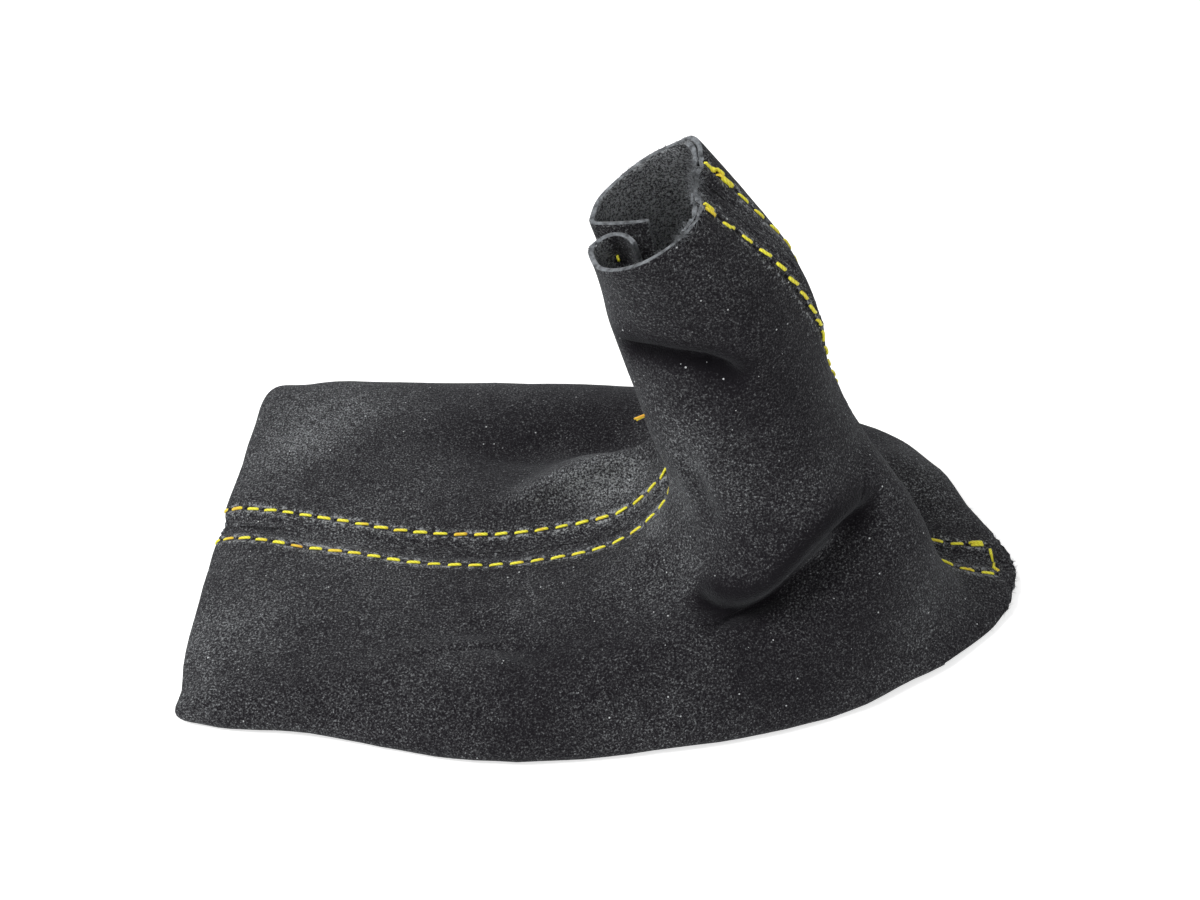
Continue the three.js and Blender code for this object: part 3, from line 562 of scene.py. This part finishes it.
# The needle has left a hole between two stitches, 0.8 mm across the row. Its dark colour is painted shade.
part = add_node(suede, "ShaderNodeMath", links={0: count.outputs["Fac"]}, operation="FRACT")
part = add_node(suede, "ShaderNodeMath", {1: 0.5}, {0: part.outputs[0]}, operation="SUBTRACT")
part = add_node(suede, "ShaderNodeMath", links={0: part.outputs[0]}, operation="ABSOLUTE")
between = add_node(suede, "ShaderNodeMapRange", {1: 0.385, 2: 0.43, 3: 0.0, 4: 1.0}, {0: part.outputs[0]})
on_row = add_node(suede, "ShaderNodeMapRange", {1: 0.2, 2: 0.42, 3: 1.0, 4: 0.0}, {0: apart.outputs[0]})
hole = add_node(suede, "ShaderNodeMath", links={0: between.outputs[0], 1: on_row.outputs[0]},
                operation="MULTIPLY")
hole_shade = add_node(suede, "ShaderNodeMixRGB", {"Color2": linear("#0b090c")},
                 {"Fac": hole.outputs[0], "Color1": colour.outputs["Color"]})

# Specks of dust, 0.4 mm across at most, in cells 2.5 mm wide. The suede meets only a few of them.
dust = add_node(suede, "ShaderNodeTexVoronoi", {"Scale": 400}, {"Vector": place})
lot = add_node(suede, "ShaderNodeSeparateColor", links={0: dust.outputs["Color"]})
size = add_node(suede, "ShaderNodeMath", {1: 0.1, 2: -0.02}, {0: lot.outputs[0]}, operation="MULTIPLY_ADD")
speck = add_node(suede, "ShaderNodeMath", links={0: dust.outputs["Distance"], 1: size.outputs[0]},
                 operation="LESS_THAN")
dusted = add_node(suede, "ShaderNodeMixRGB", {"Color2": linear("#d0d3d5")},
                  {"Fac": speck.outputs[0], "Color1": hole_shade.outputs["Color"]})

height = add_node(suede, "ShaderNodeMath", {1: 0.8}, {0: mottle.outputs["Fac"], 2: grain.outputs["Fac"]},
                  operation="MULTIPLY_ADD")
height = add_node(suede, "ShaderNodeMath", {1: -1.5}, {0: hole.outputs[0], 2: height.outputs[0]},
                  operation="MULTIPLY_ADD")
bump = add_node(suede, "ShaderNodeBump", {"Strength": 0.8, "Distance": 0.0005},
                {"Height": height.outputs[0]})
shader = suede.node_tree.nodes["Principled BSDF"]
shader.inputs["Roughness"].default_value = 0.95
shader.inputs["Specular IOR Level"].default_value = 0.1
shader.inputs["Sheen Weight"].default_value = 0.16
shader.inputs["Sheen Roughness"].default_value = 0.45
shader.inputs["Sheen Tint"].default_value = linear("#c4c8cc")
suede.node_tree.links.new(dusted.outputs["Color"], shader.inputs["Base Color"])
suede.node_tree.links.new(bump.outputs["Normal"], shader.inputs["Normal"])

# The cut edge of the hide, undyed in its core: loose grey fibres in strands about 1.6 mm wide.
cut_edge = bpy.data.materials.new("suede_cut_edge")
cut_edge.use_nodes = True
place = add_node(cut_edge, "ShaderNodeTexCoord").outputs["Object"]
strands = add_node(cut_edge, "ShaderNodeTexNoise", {"Scale": 620, "Detail": 4, "Roughness": 0.75},
                   {"Vector": place})
colour = add_node(cut_edge, "ShaderNodeValToRGB", links={"Fac": strands.outputs["Fac"]})
colour.color_ramp.elements[0].position = 0.32
colour.color_ramp.elements[0].color = linear("#2c2d30")
colour.color_ramp.elements[1].position = 0.66
colour.color_ramp.elements[1].color = linear("#8a8e92")
bump = add_node(cut_edge, "ShaderNodeBump", {"Strength": 0.9, "Distance": 0.0004},
                {"Height": strands.outputs["Fac"]})
shader = cut_edge.node_tree.nodes["Principled BSDF"]
shader.inputs["Roughness"].default_value = 0.95
shader.inputs["Specular IOR Level"].default_value = 0.1
shader.inputs["Sheen Weight"].default_value = 0.2
cut_edge.node_tree.links.new(colour.outputs["Color"], shader.inputs["Base Color"])
cut_edge.node_tree.links.new(bump.outputs["Normal"], shader.inputs["Normal"])

near_panel.data.materials.append(suede)
near_panel.data.materials.append(cut_edge)
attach(near_panel, "root")
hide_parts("near_panel")


# Far panel: the other half, cut as a mirror image of the near one from the same suede and sewn to it
# along the front seam and the rear seam.

far_panel = soft_panel("far_panel", "far_suede")
finish_panel(far_panel, far_front_row, far_rear_row, -1)
far_panel.data.materials.append(suede)
far_panel.data.materials.append(cut_edge)
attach(far_panel, "root")
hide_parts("far_panel")


# Topstitching: thick yellow polyester thread in a lock stitch, one row on each side of both seams.
# Each stitch is a short stretch of twisted thread that comes up through one hole and goes down
# through the next. The rear rows start with a few back stitches at the rim, which lock the thread.

# The share of the pitch that shows as thread, and the thread's radius.
stitch_share = 0.79
thread_radius = 0.00037


def one_stitch():
    """A straight stitch along X, one unit long and one unit in radius.

    Its material counts along it, and round it from the top, so that the count jumps out of sight below.
    """
    lengths = 8
    bpy.ops.object.select_all(action="DESELECT")
    bpy.ops.mesh.primitive_cylinder_add(vertices=10, radius=1, depth=1, end_fill_type="TRIFAN",
                                        location=(0.5, 0, 0), rotation=(0, math.pi / 2, 0))
    stitch = bpy.context.object
    bpy.ops.object.transform_apply(location=True, rotation=True, scale=True)
    bpy.ops.object.mode_set(mode="EDIT")
    for cut in range(1, lengths):
        bpy.ops.mesh.select_all(action="SELECT")
        bpy.ops.mesh.bisect(plane_co=(cut / lengths, 0, 0), plane_no=(1, 0, 0))
    bpy.ops.object.mode_set(mode="OBJECT")
    places = points_of(stitch)
    put_attribute(stitch, "stitch_along", places[:, 0])
    put_attribute(stitch, "stitch_round", np.arctan2(places[:, 1], places[:, 2]) / (2 * math.pi))
    return stitch


def lay_stitch(pattern, start, end, ground, slant, lift=0.00016, thick=1.0, aside=0.0, tint=0.0):
    """A copy of the stitch from one hole to the next, lying on the suede.

    slant and aside move its ends and all of it across the row, lift is its height, thick its thickness,
    and tint how orange it is.
    """
    dive = 0.0009
    taper = 0.4
    flatness = 0.85
    piece = bpy.data.objects.new("stitch", pattern.data.copy())
    bpy.context.scene.collection.objects.link(piece)
    places = points_of(piece)
    start = Vector(start)
    end = Vector(end)
    normal = ground.find_nearest((start + end) / 2)[1]
    forward = (end - start).normalized()
    side = normal.cross(forward).normalized()
    sides = {}
    laid = np.empty_like(places)
    for i, t in enumerate(places[:, 0]):
        key = round(float(t), 3)
        if key not in sides:
            middle = ground.find_nearest(start.lerp(end, t))[0]
            away = abs(2 * t - 1)
            height = lift - dive * away ** 7
            radius = thread_radius * thick * (1 - taper * away ** 5)
            sides[key] = (middle + normal * height + side * (aside + slant * (2 * t - 1)), radius)
        centre, radius = sides[key]
        laid[i] = centre + side * places[i, 1] * radius + normal * places[i, 2] * radius * flatness
    put_points(piece, laid)
    put_attribute(piece, "orange", np.full(len(laid), tint))
    return piece


def ground_of(*panels):
    """The panels' surface, which the stitches are laid on."""
    corners = []
    faces = []
    for panel in panels:
        start = len(corners)
        corners.extend(v.co.copy() for v in panel.data.vertices)
        faces.extend([start + i for i in f.vertices] for f in panel.data.polygons)
    return BVHTree.FromPolygons(corners, faces)


def join_row(pieces, name):
    """Joins the stitches of a row to one piece."""
    bpy.ops.object.select_all(action="DESELECT")
    for piece in pieces:
        piece.select_set(True)
    bpy.context.view_layer.objects.active = pieces[0]
    bpy.ops.object.join()
    bpy.context.object.name = name
    bpy.ops.object.shade_smooth()
    return bpy.context.object


for row in rows:
    shape_folds(row)
ground = ground_of(near_panel, far_panel)
pattern = one_stitch()

# Bonded polyester thread, dyed yellow: three plies twisted together, about 0.75 mm thick, with a soft
# gloss on each ply and an orange cast where the dye is dense.
thread = bpy.data.materials.new("thread_yellow")
thread.use_nodes = True
place = add_node(thread, "ShaderNodeTexCoord").outputs["Object"]
dye = add_node(thread, "ShaderNodeTexNoise", {"Scale": 420, "Detail": 2}, {"Vector": place})
orange = add_node(thread, "ShaderNodeAttribute", attribute_name="orange")
dense = add_node(thread, "ShaderNodeMath", {1: 1.0}, {0: dye.outputs["Fac"], 2: orange.outputs["Fac"]},
                 operation="MULTIPLY_ADD")
colour = add_node(thread, "ShaderNodeValToRGB", links={"Fac": dense.outputs[0]})
colour.color_ramp.elements[0].position = 0.5
colour.color_ramp.elements[0].color = linear("#fffa46")
colour.color_ramp.elements[1].position = 0.95
colour.color_ramp.elements[1].color = linear("#f0a838")

# The grooves between the three plies wind round the thread, and cross each stitch four times. They are
# painted a darker yellow, as the shade in them.
lengthwise = add_node(thread, "ShaderNodeAttribute", attribute_name="stitch_along")
round_it = add_node(thread, "ShaderNodeAttribute", attribute_name="stitch_round")
twist = add_node(thread, "ShaderNodeMath", {1: 4.0}, {0: lengthwise.outputs["Fac"]}, operation="MULTIPLY")
twist = add_node(thread, "ShaderNodeMath", {1: 3.0}, {0: round_it.outputs["Fac"], 2: twist.outputs[0]},
                 operation="MULTIPLY_ADD")
twist = add_node(thread, "ShaderNodeMath", {1: 0.5}, {0: twist.outputs[0]}, operation="PINGPONG")
grooves = add_node(thread, "ShaderNodeMapRange", {1: 0.0, 2: 0.22, 3: 0.0, 4: 1.0}, {0: twist.outputs[0]})
painted_groove_shade = add_node(thread, "ShaderNodeMixRGB", {"Color1": linear("#dcc622")},
                  {"Fac": grooves.outputs[0], "Color2": colour.outputs["Color"]})
bump = add_node(thread, "ShaderNodeBump", {"Strength": 0.6, "Distance": 0.00015},
                {"Height": grooves.outputs[0]})
shader = thread.node_tree.nodes["Principled BSDF"]
shader.inputs["Roughness"].default_value = 0.4
shader.inputs["Specular IOR Level"].default_value = 0.4
thread.node_tree.links.new(painted_groove_shade.outputs["Color"], shader.inputs["Base Color"])
thread.node_tree.links.new(bump.outputs["Normal"], shader.inputs["Normal"])

# No two hand-guided stitches are quite the same. The draws are seeded.
chance = np.random.default_rng(7)


def stitches_along(line, slant):
    """The stitches of one row, from hole to hole. A few are more orange than the rest."""
    orange_share = 0.05
    length_spread = 0.05
    slant_spread = 0.5
    thick_spread = 0.06
    stitches = []
    total = round(length_of(line) / stitch_pitch)
    pitch = length_of(line) / total
    for i in range(total):
        middle = (i + 0.5) * pitch
        half = pitch * stitch_share / 2 * (1 + length_spread * chance.standard_normal())
        ends = along(line, [middle - half, middle + half])
        tint = 0.25 if chance.random() < orange_share else 0.0
        turn = slant * (1 + slant_spread * chance.standard_normal())
        thick = 1 + thick_spread * chance.standard_normal()
        stitches.append(lay_stitch(pattern, ends[0], ends[1], ground, slant=turn, thick=thick, tint=tint))
    return stitches


def place_row(stitches, name, node_name):
    """Makes one piece of the stitches, in the place of a CAD thread."""
    row = join_row(stitches, name)
    row.data.materials.clear()
    row.data.materials.append(thread)
    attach(row, "root")
    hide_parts(node_name)


def back_stitches(line, spans, tint):
    """Stitches sewn over each other to lock a row: each span is (start, end, aside) in mm."""
    return [lay_stitch(pattern, *along(line, [start / 1000, end / 1000]), ground, slant=0.0001, lift=0.0004,
                       aside=aside / 1000, tint=tint) for start, end, aside in spans]


def loose_end(path, thick, tint):
    """A loose end of thread along a path of points in mm."""
    piece = bpy.data.objects.new("stitch", pattern.data.copy())
    bpy.context.scene.collection.objects.link(piece)
    places = points_of(piece)
    path = np.array(path) / 1000
    reach = places[:, 0] * length_of(path)
    step = 0.0002
    ahead = unit(along(path, reach + step) - along(path, reach - step))
    side = unit(np.cross(ahead, (0.3, 0.2, 1)))
    up = np.cross(ahead, side)
    round_path = (side * places[:, 1:2] + up * places[:, 2:3]) * thread_radius * thick
    put_points(piece, along(path, reach) + round_path)
    put_attribute(piece, "orange", np.full(len(places), tint))
    return piece


# The near row starts with two cut ends at the foot of the slit, and shows once inside the rim's curl.
row_slant = 0.00016
front_stitches = stitches_along(near_front_row, row_slant)
front_stitches.append(loose_end([(9.5, -12.6, 58.8), (7.6, -13.8, 58.8), (6, -14, 58.1), (5.1, -13.8, 57.4)],
                                0.6, 0.4))
front_stitches.append(loose_end([(9.5, -12.6, 58.2), (7.6, -13.6, 58.2), (6.2, -13.6, 57.3),
                                 (5.6, -13.4, 56.7)], 0.6, 0.3))
front_stitches.append(loose_end([(1.4, -2.4, 91.2), (1.5, -3.6, 91.3), (1.7, -4, 90.6), (1.7, -3, 90.2)],
                                0.8, 0.0))
place_row(front_stitches, "front_stitches_near", "front_topstitch_near")
place_row(stitches_along(far_front_row, row_slant), "front_stitches_far", "front_topstitch_far")
rear_stitches = stitches_along(near_rear_row, row_slant)
rear_stitches += stitches_along(far_rear_row, row_slant)
rear_stitches += stitches_along(closing_row, 0.0)
rear_stitches += back_stitches(near_rear_row, [(0.2, 3.4, 0.55), (0.6, 3.8, -0.5)], 0.1)
rear_stitches += back_stitches(far_rear_row, [(2.4, 6.2, 0.5), (4.0, 8.4, -0.35), (5.4, 9.2, 0.3)], 0.0)
row_end = length_of(far_rear_row) * 1000
rear_stitches += back_stitches(far_rear_row, [(row_end - 4.6, row_end - 0.8, 0.55)], 0.0)
place_row(rear_stitches, "rear_stitches", "rear_topstitch")


# Loose fibres of the hide along the raw edges at the rim and at the rear tip, a part of both panels.
# They stand out of the cut suede where it was never bound or glued, and are grey like its core.

fibre_lengths = 5
fibre_radius = 0.00006
bpy.ops.object.select_all(action="DESELECT")
bpy.ops.mesh.primitive_cone_add(vertices=3, radius1=1, radius2=0.3, depth=1, location=(0, 0, 0.5))
fibre = bpy.context.object
bpy.ops.object.transform_apply(location=True, rotation=True, scale=True)
bpy.ops.object.mode_set(mode="EDIT")
for cut in range(1, fibre_lengths):
    bpy.ops.mesh.select_all(action="SELECT")
    bpy.ops.mesh.bisect(plane_co=(0, 0, cut / fibre_lengths), plane_no=(0, 0, 1))
bpy.ops.object.mode_set(mode="OBJECT")
fibre.data.materials.append(cut_edge)


def grow_fibres(panel, within, count, longest):
    """Grows fibres out of a panel's cut edge. within says if a face's middle, in mm, is in the place."""
    spread = 0.8
    shortest_share = 0.35
    root_share = 0.12
    curl = 0.7
    faces = [f for f in panel.data.polygons if f.material_index == 1 and within(*(f.center * 1000))]
    grown = [panel]
    for face in chance.choice(faces, count):
        piece = bpy.data.objects.new("fibre", fibre.data.copy())
        bpy.context.scene.collection.objects.link(piece)
        places = points_of(piece)
        heading = unit(np.array(face.normal) + spread * chance.standard_normal(3))
        side = unit(np.cross(heading, chance.standard_normal(3)))
        length = longest * (shortest_share + (1 - shortest_share) * chance.random())
        share = places[:, 2:3]
        middle = np.array(face.center) + heading * length * (share - root_share)
        middle = middle + side * length * curl * share ** 2
        places = middle + (side * places[:, :1] + np.cross(heading, side) * places[:, 1:2]) * fibre_radius
        places[:, 2] = np.maximum(places[:, 2], lowest)
        put_points(piece, places)
        grown.append(piece)
    join_row(grown, panel.name)


for panel in (near_panel, far_panel):
    grow_fibres(panel, lambda x, y, z: z > 95, 150, 0.0009)
    grow_fibres(panel, lambda x, y, z: z > 101 and x > 12 and y < 2, 260, 0.0024)
    grow_fibres(panel, lambda x, y, z: x > 84 and z < 12, 110, 0.0015)
bpy.data.objects.remove(fibre)


# Joining threads: the dark thread inside each seam that holds the two panels together. They lie in
# the groove under the seam, so only a little of them shows from inside.

# Bonded polyester thread again, dyed near black, with a faint gleam on plies 0.4 mm apart, painted into
# its colour as paler bands.
joining = bpy.data.materials.new("thread_dark")
joining.use_nodes = True
place = add_node(joining, "ShaderNodeTexCoord").outputs["Object"]
plies_and_gleam = add_node(joining, "ShaderNodeTexWave", {"Scale": 900, "Distortion": 1.5}, {"Vector": place},
                 bands_direction="DIAGONAL")
colour = add_node(joining, "ShaderNodeValToRGB", links={"Fac": plies_and_gleam.outputs["Fac"]})
colour.color_ramp.elements[0].color = linear("#1a1a1c")
colour.color_ramp.elements[1].color = linear("#3a3a3d")
shader = joining.node_tree.nodes["Principled BSDF"]
shader.inputs["Roughness"].default_value = 0.6
joining.node_tree.links.new(colour.outputs["Color"], shader.inputs["Base Color"])


def joining_thread(node_name, name):
    """A copy of a joining thread that follows the seam's folds."""
    piece = bpy.data.objects.new(name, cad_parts[node_name].data.copy())
    bpy.context.scene.collection.objects.link(piece)
    select_only(piece)
    bpy.ops.object.mode_set(mode="EDIT")
    bpy.ops.mesh.select_all(action="SELECT")
    bpy.ops.mesh.remove_doubles(threshold=same_place)
    bpy.ops.object.mode_set(mode="OBJECT")
    bpy.ops.mesh.customdata_custom_splitnormals_clear()
    places = points_of(piece)
    shape_folds(places)
    put_points(piece, places)
    bpy.ops.object.shade_smooth()
    piece.data.materials.clear()
    piece.data.materials.append(joining)
    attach(piece, "root")
    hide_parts(node_name)


joining_thread("front_join_thread", "front_joining_thread")
joining_thread("rear_join_thread", "rear_joining_thread")
bpy.data.objects.remove(pattern)


# Floor: a plain pale sheet, 6 m wide and 0.2 mm under the hem. Seen by the camera it is lit up to
# white, and it keeps the gaiter's shadow.

bpy.ops.object.select_all(action="DESELECT")
bpy.ops.mesh.primitive_plane_add(size=6, location=(0, 0, -0.0002))
floor = bpy.context.object
floor.name = "floor"
bpy.ops.object.transform_apply(location=True, rotation=True, scale=True)
paper = bpy.data.materials.new("floor_white")
paper.use_nodes = True
ray = add_node(paper, "ShaderNodeLightPath")
seen = add_node(paper, "ShaderNodeMath",
                links={0: ray.outputs["Is Camera Ray"], 1: ray.outputs["Is Glossy Ray"]},
                operation="MAXIMUM")
seen = add_node(paper, "ShaderNodeMath", links={0: seen.outputs[0], 1: ray.outputs["Is Transmission Ray"]},
                operation="MAXIMUM")
glow = add_node(paper, "ShaderNodeMath", {1: 0.55}, {0: seen.outputs[0]}, operation="MULTIPLY")
shader = paper.node_tree.nodes["Principled BSDF"]
shader.inputs["Base Color"].default_value = linear("#f4f4f4")
shader.inputs["Roughness"].default_value = 0.9
shader.inputs["Emission Color"].default_value = linear("#ffffff")
paper.node_tree.links.new(glow.outputs[0], shader.inputs["Emission Strength"])
floor.data.materials.append(paper)


# Light: a pale room and two large soft lamps, as in a small product studio. The room is seen white and
# lights the gaiter less strongly than that.

world = bpy.data.worlds.new("studio")
bpy.context.scene.world = world
world.use_nodes = True
ray = add_node(world, "ShaderNodeLightPath")
seen = add_node(world, "ShaderNodeMath",
                links={0: ray.outputs["Is Camera Ray"], 1: ray.outputs["Is Glossy Ray"]},
                operation="MAXIMUM")
seen = add_node(world, "ShaderNodeMath", links={0: seen.outputs[0], 1: ray.outputs["Is Transmission Ray"]},
                operation="MAXIMUM")
strength = add_node(world, "ShaderNodeMapRange", {1: 0.0, 2: 1.0, 3: 0.42, 4: 1.0}, {0: seen.outputs[0]})
world.node_tree.nodes["Background"].inputs["Color"].default_value = linear("#ffffff")
world.node_tree.links.new(strength.outputs[0], world.node_tree.nodes["Background"].inputs["Strength"])


def soft_lamp(name, place, aim, size, power):
    """A square area lamp turned to what it lights."""
    bpy.ops.object.light_add(type="AREA", location=place)
    lamp = bpy.context.object
    lamp.name = name
    lamp.data.size = size
    lamp.data.energy = power
    lamp.rotation_euler = (Vector(aim) - Vector(place)).to_track_quat("-Z", "Y").to_euler()


gaiter_middle = (0, 0, 0.04)
soft_lamp("key", (-0.42, -0.12, 0.62), gaiter_middle, 0.3, 4.0)
soft_lamp("front", (0.15, -0.6, 0.5), gaiter_middle, 0.5, 0.9)


# Camera: the photograph's viewpoint, about 0.4 m from the gaiter, looking down at 44 degrees and level
# from side to side.

looking_down = 44
bpy.ops.object.camera_add(location=(-0.0020, -0.2729, 0.2987),
                          rotation=(math.radians(90 - looking_down), 0, 0))
camera = bpy.context.object
camera.data.lens = 51.6
camera.data.sensor_width = 36
camera.data.clip_start = 0.01
bpy.context.scene.camera = camera

bpy.context.scene.view_settings.view_transform = "Standard"
